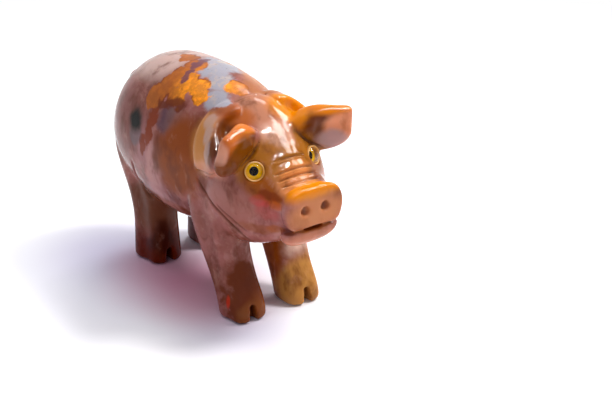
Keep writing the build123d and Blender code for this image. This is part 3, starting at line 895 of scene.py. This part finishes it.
# %% Eye materials
PAINTED_IRIS_GLOW, GLASS_INDEX, GLASS_ROUGHNESS = (1.0, 0.55, 0.02, 1), 1.25, 0.02


def speckled(name, size, detail, first, second, **constants):
    """A finish of two tones mixed by noise."""
    finish = Finish(name, **constants)
    flecks = finish.noise(finish.places(), size, detail)
    finish.feed(Base_Color=finish.mix(flecks, first, second))
    return finish


# the iris's faint emission is painted light
iris_yellow = speckled("iris_yellow", 0.35, 3.0, tone(226, 168, 2), tone(255, 214, 20), Roughness=0.5,
                       Specular_IOR_Level=0.0, Emission_Strength=0.12, Emission_Color=PAINTED_IRIS_GLOW)
pupil_black = speckled("pupil_black", 0.4, 2.0, tone(8, 7, 8), tone(22, 20, 22), Roughness=0.5,
                       Specular_IOR_Level=0.0)
cement_cream = speckled("cement_cream", 0.3, 4.0, tone(196, 134, 52), tone(226, 172, 92), Roughness=0.45)
dome_glass = Finish("dome_glass")
dome_glass.tree.nodes.remove(dome_glass.shader)
through = dome_glass.node("ShaderNodeBsdfTransparent", {}, {"Color": WHITE})
shine = dome_glass.node("ShaderNodeBsdfGlossy", {}, {"Color": WHITE, "Roughness": GLASS_ROUGHNESS})
outside = 1 - dome_glass.node("ShaderNodeNewGeometry", {}, {}, "Backfacing")
edge = dome_glass.node("ShaderNodeFresnel", {}, {"IOR": GLASS_INDEX}) * outside
dome_glass.show(dome_glass.blend(edge, through, shine))
eye_finishes = (iris_yellow, pupil_black, cement_cream, dome_glass)
print("eye materials:", [finish.material.name for finish in eye_finishes])

# %% [markdown]
# The profiles. The cement is a cup that stands a hair proud of the stone, the iris a flat ring, the pupil a
# disc inside it, and the dome a cap of a sphere on a short wall. Both eyes use the same four profiles.

# %% Turn the eyes
SOCKET_RADIUS, GLASS_RADIUS, PUPIL_RADIUS = 2.2, 1.9, 1.03
SOCKET_FLOOR, BED, IRIS_TOP, GLASS_RIM, GLASS_TOP = -2.2, -1.7, -1.2, -0.2, 0.6
CEMENT_CROWN, CEMENT_LIP, CEMENT_EDGE, CEMENT_DROP = (2.05, 0.06), 0.08, 0.03, 0.12
PUPIL_EDGE, PUPIL_DROP = 0.06, 0.03
DOME_STEPS = 10

cement_profile = [(GLASS_RADIUS, BED), (GLASS_RADIUS, GLASS_RIM), (GLASS_RADIUS + CEMENT_LIP, 0.0),
                  CEMENT_CROWN, (SOCKET_RADIUS - CEMENT_EDGE, 0.0), (SOCKET_RADIUS, -CEMENT_DROP),
                  (SOCKET_RADIUS, SOCKET_FLOOR), (0, SOCKET_FLOOR), (0, BED), (GLASS_RADIUS, BED)]
iris_profile = [(PUPIL_RADIUS, BED), (GLASS_RADIUS, BED), (GLASS_RADIUS, IRIS_TOP),
                (PUPIL_RADIUS, IRIS_TOP), (PUPIL_RADIUS, BED)]
pupil_profile = [(0, BED), (PUPIL_RADIUS, BED), (PUPIL_RADIUS, IRIS_TOP - PUPIL_DROP),
                 (PUPIL_RADIUS - PUPIL_EDGE, IRIS_TOP), (0, IRIS_TOP)]
dome_height = GLASS_TOP - GLASS_RIM
dome_radius = (GLASS_RADIUS**2 + dome_height**2) / (2 * dome_height)
dome_angle = math.asin(GLASS_RADIUS / dome_radius)
arc = [dome_angle * step / DOME_STEPS for step in range(DOME_STEPS, -1, -1)]
glass_profile = [(0, IRIS_TOP), (GLASS_RADIUS, IRIS_TOP)] + [
    (dome_radius * math.sin(angle), GLASS_TOP - dome_radius * (1 - math.cos(angle))) for angle in arc]
for side in ("left", "right"):
    seat = eye_seat(side)
    turned(f"{side}_cement_ring", cement_profile, seat, cement_cream, f"{side}_eye_cement")
    turned(f"{side}_iris_ring", iris_profile, seat, iris_yellow, f"{side}_eye_iris")
    turned(f"{side}_pupil_disc", pupil_profile, seat, pupil_black, f"{side}_eye_pupil")
    turned(f"{side}_glass_dome", glass_profile, seat, dome_glass, f"{side}_eye_glass")

# %% [markdown] Blender must not change the size of the object.
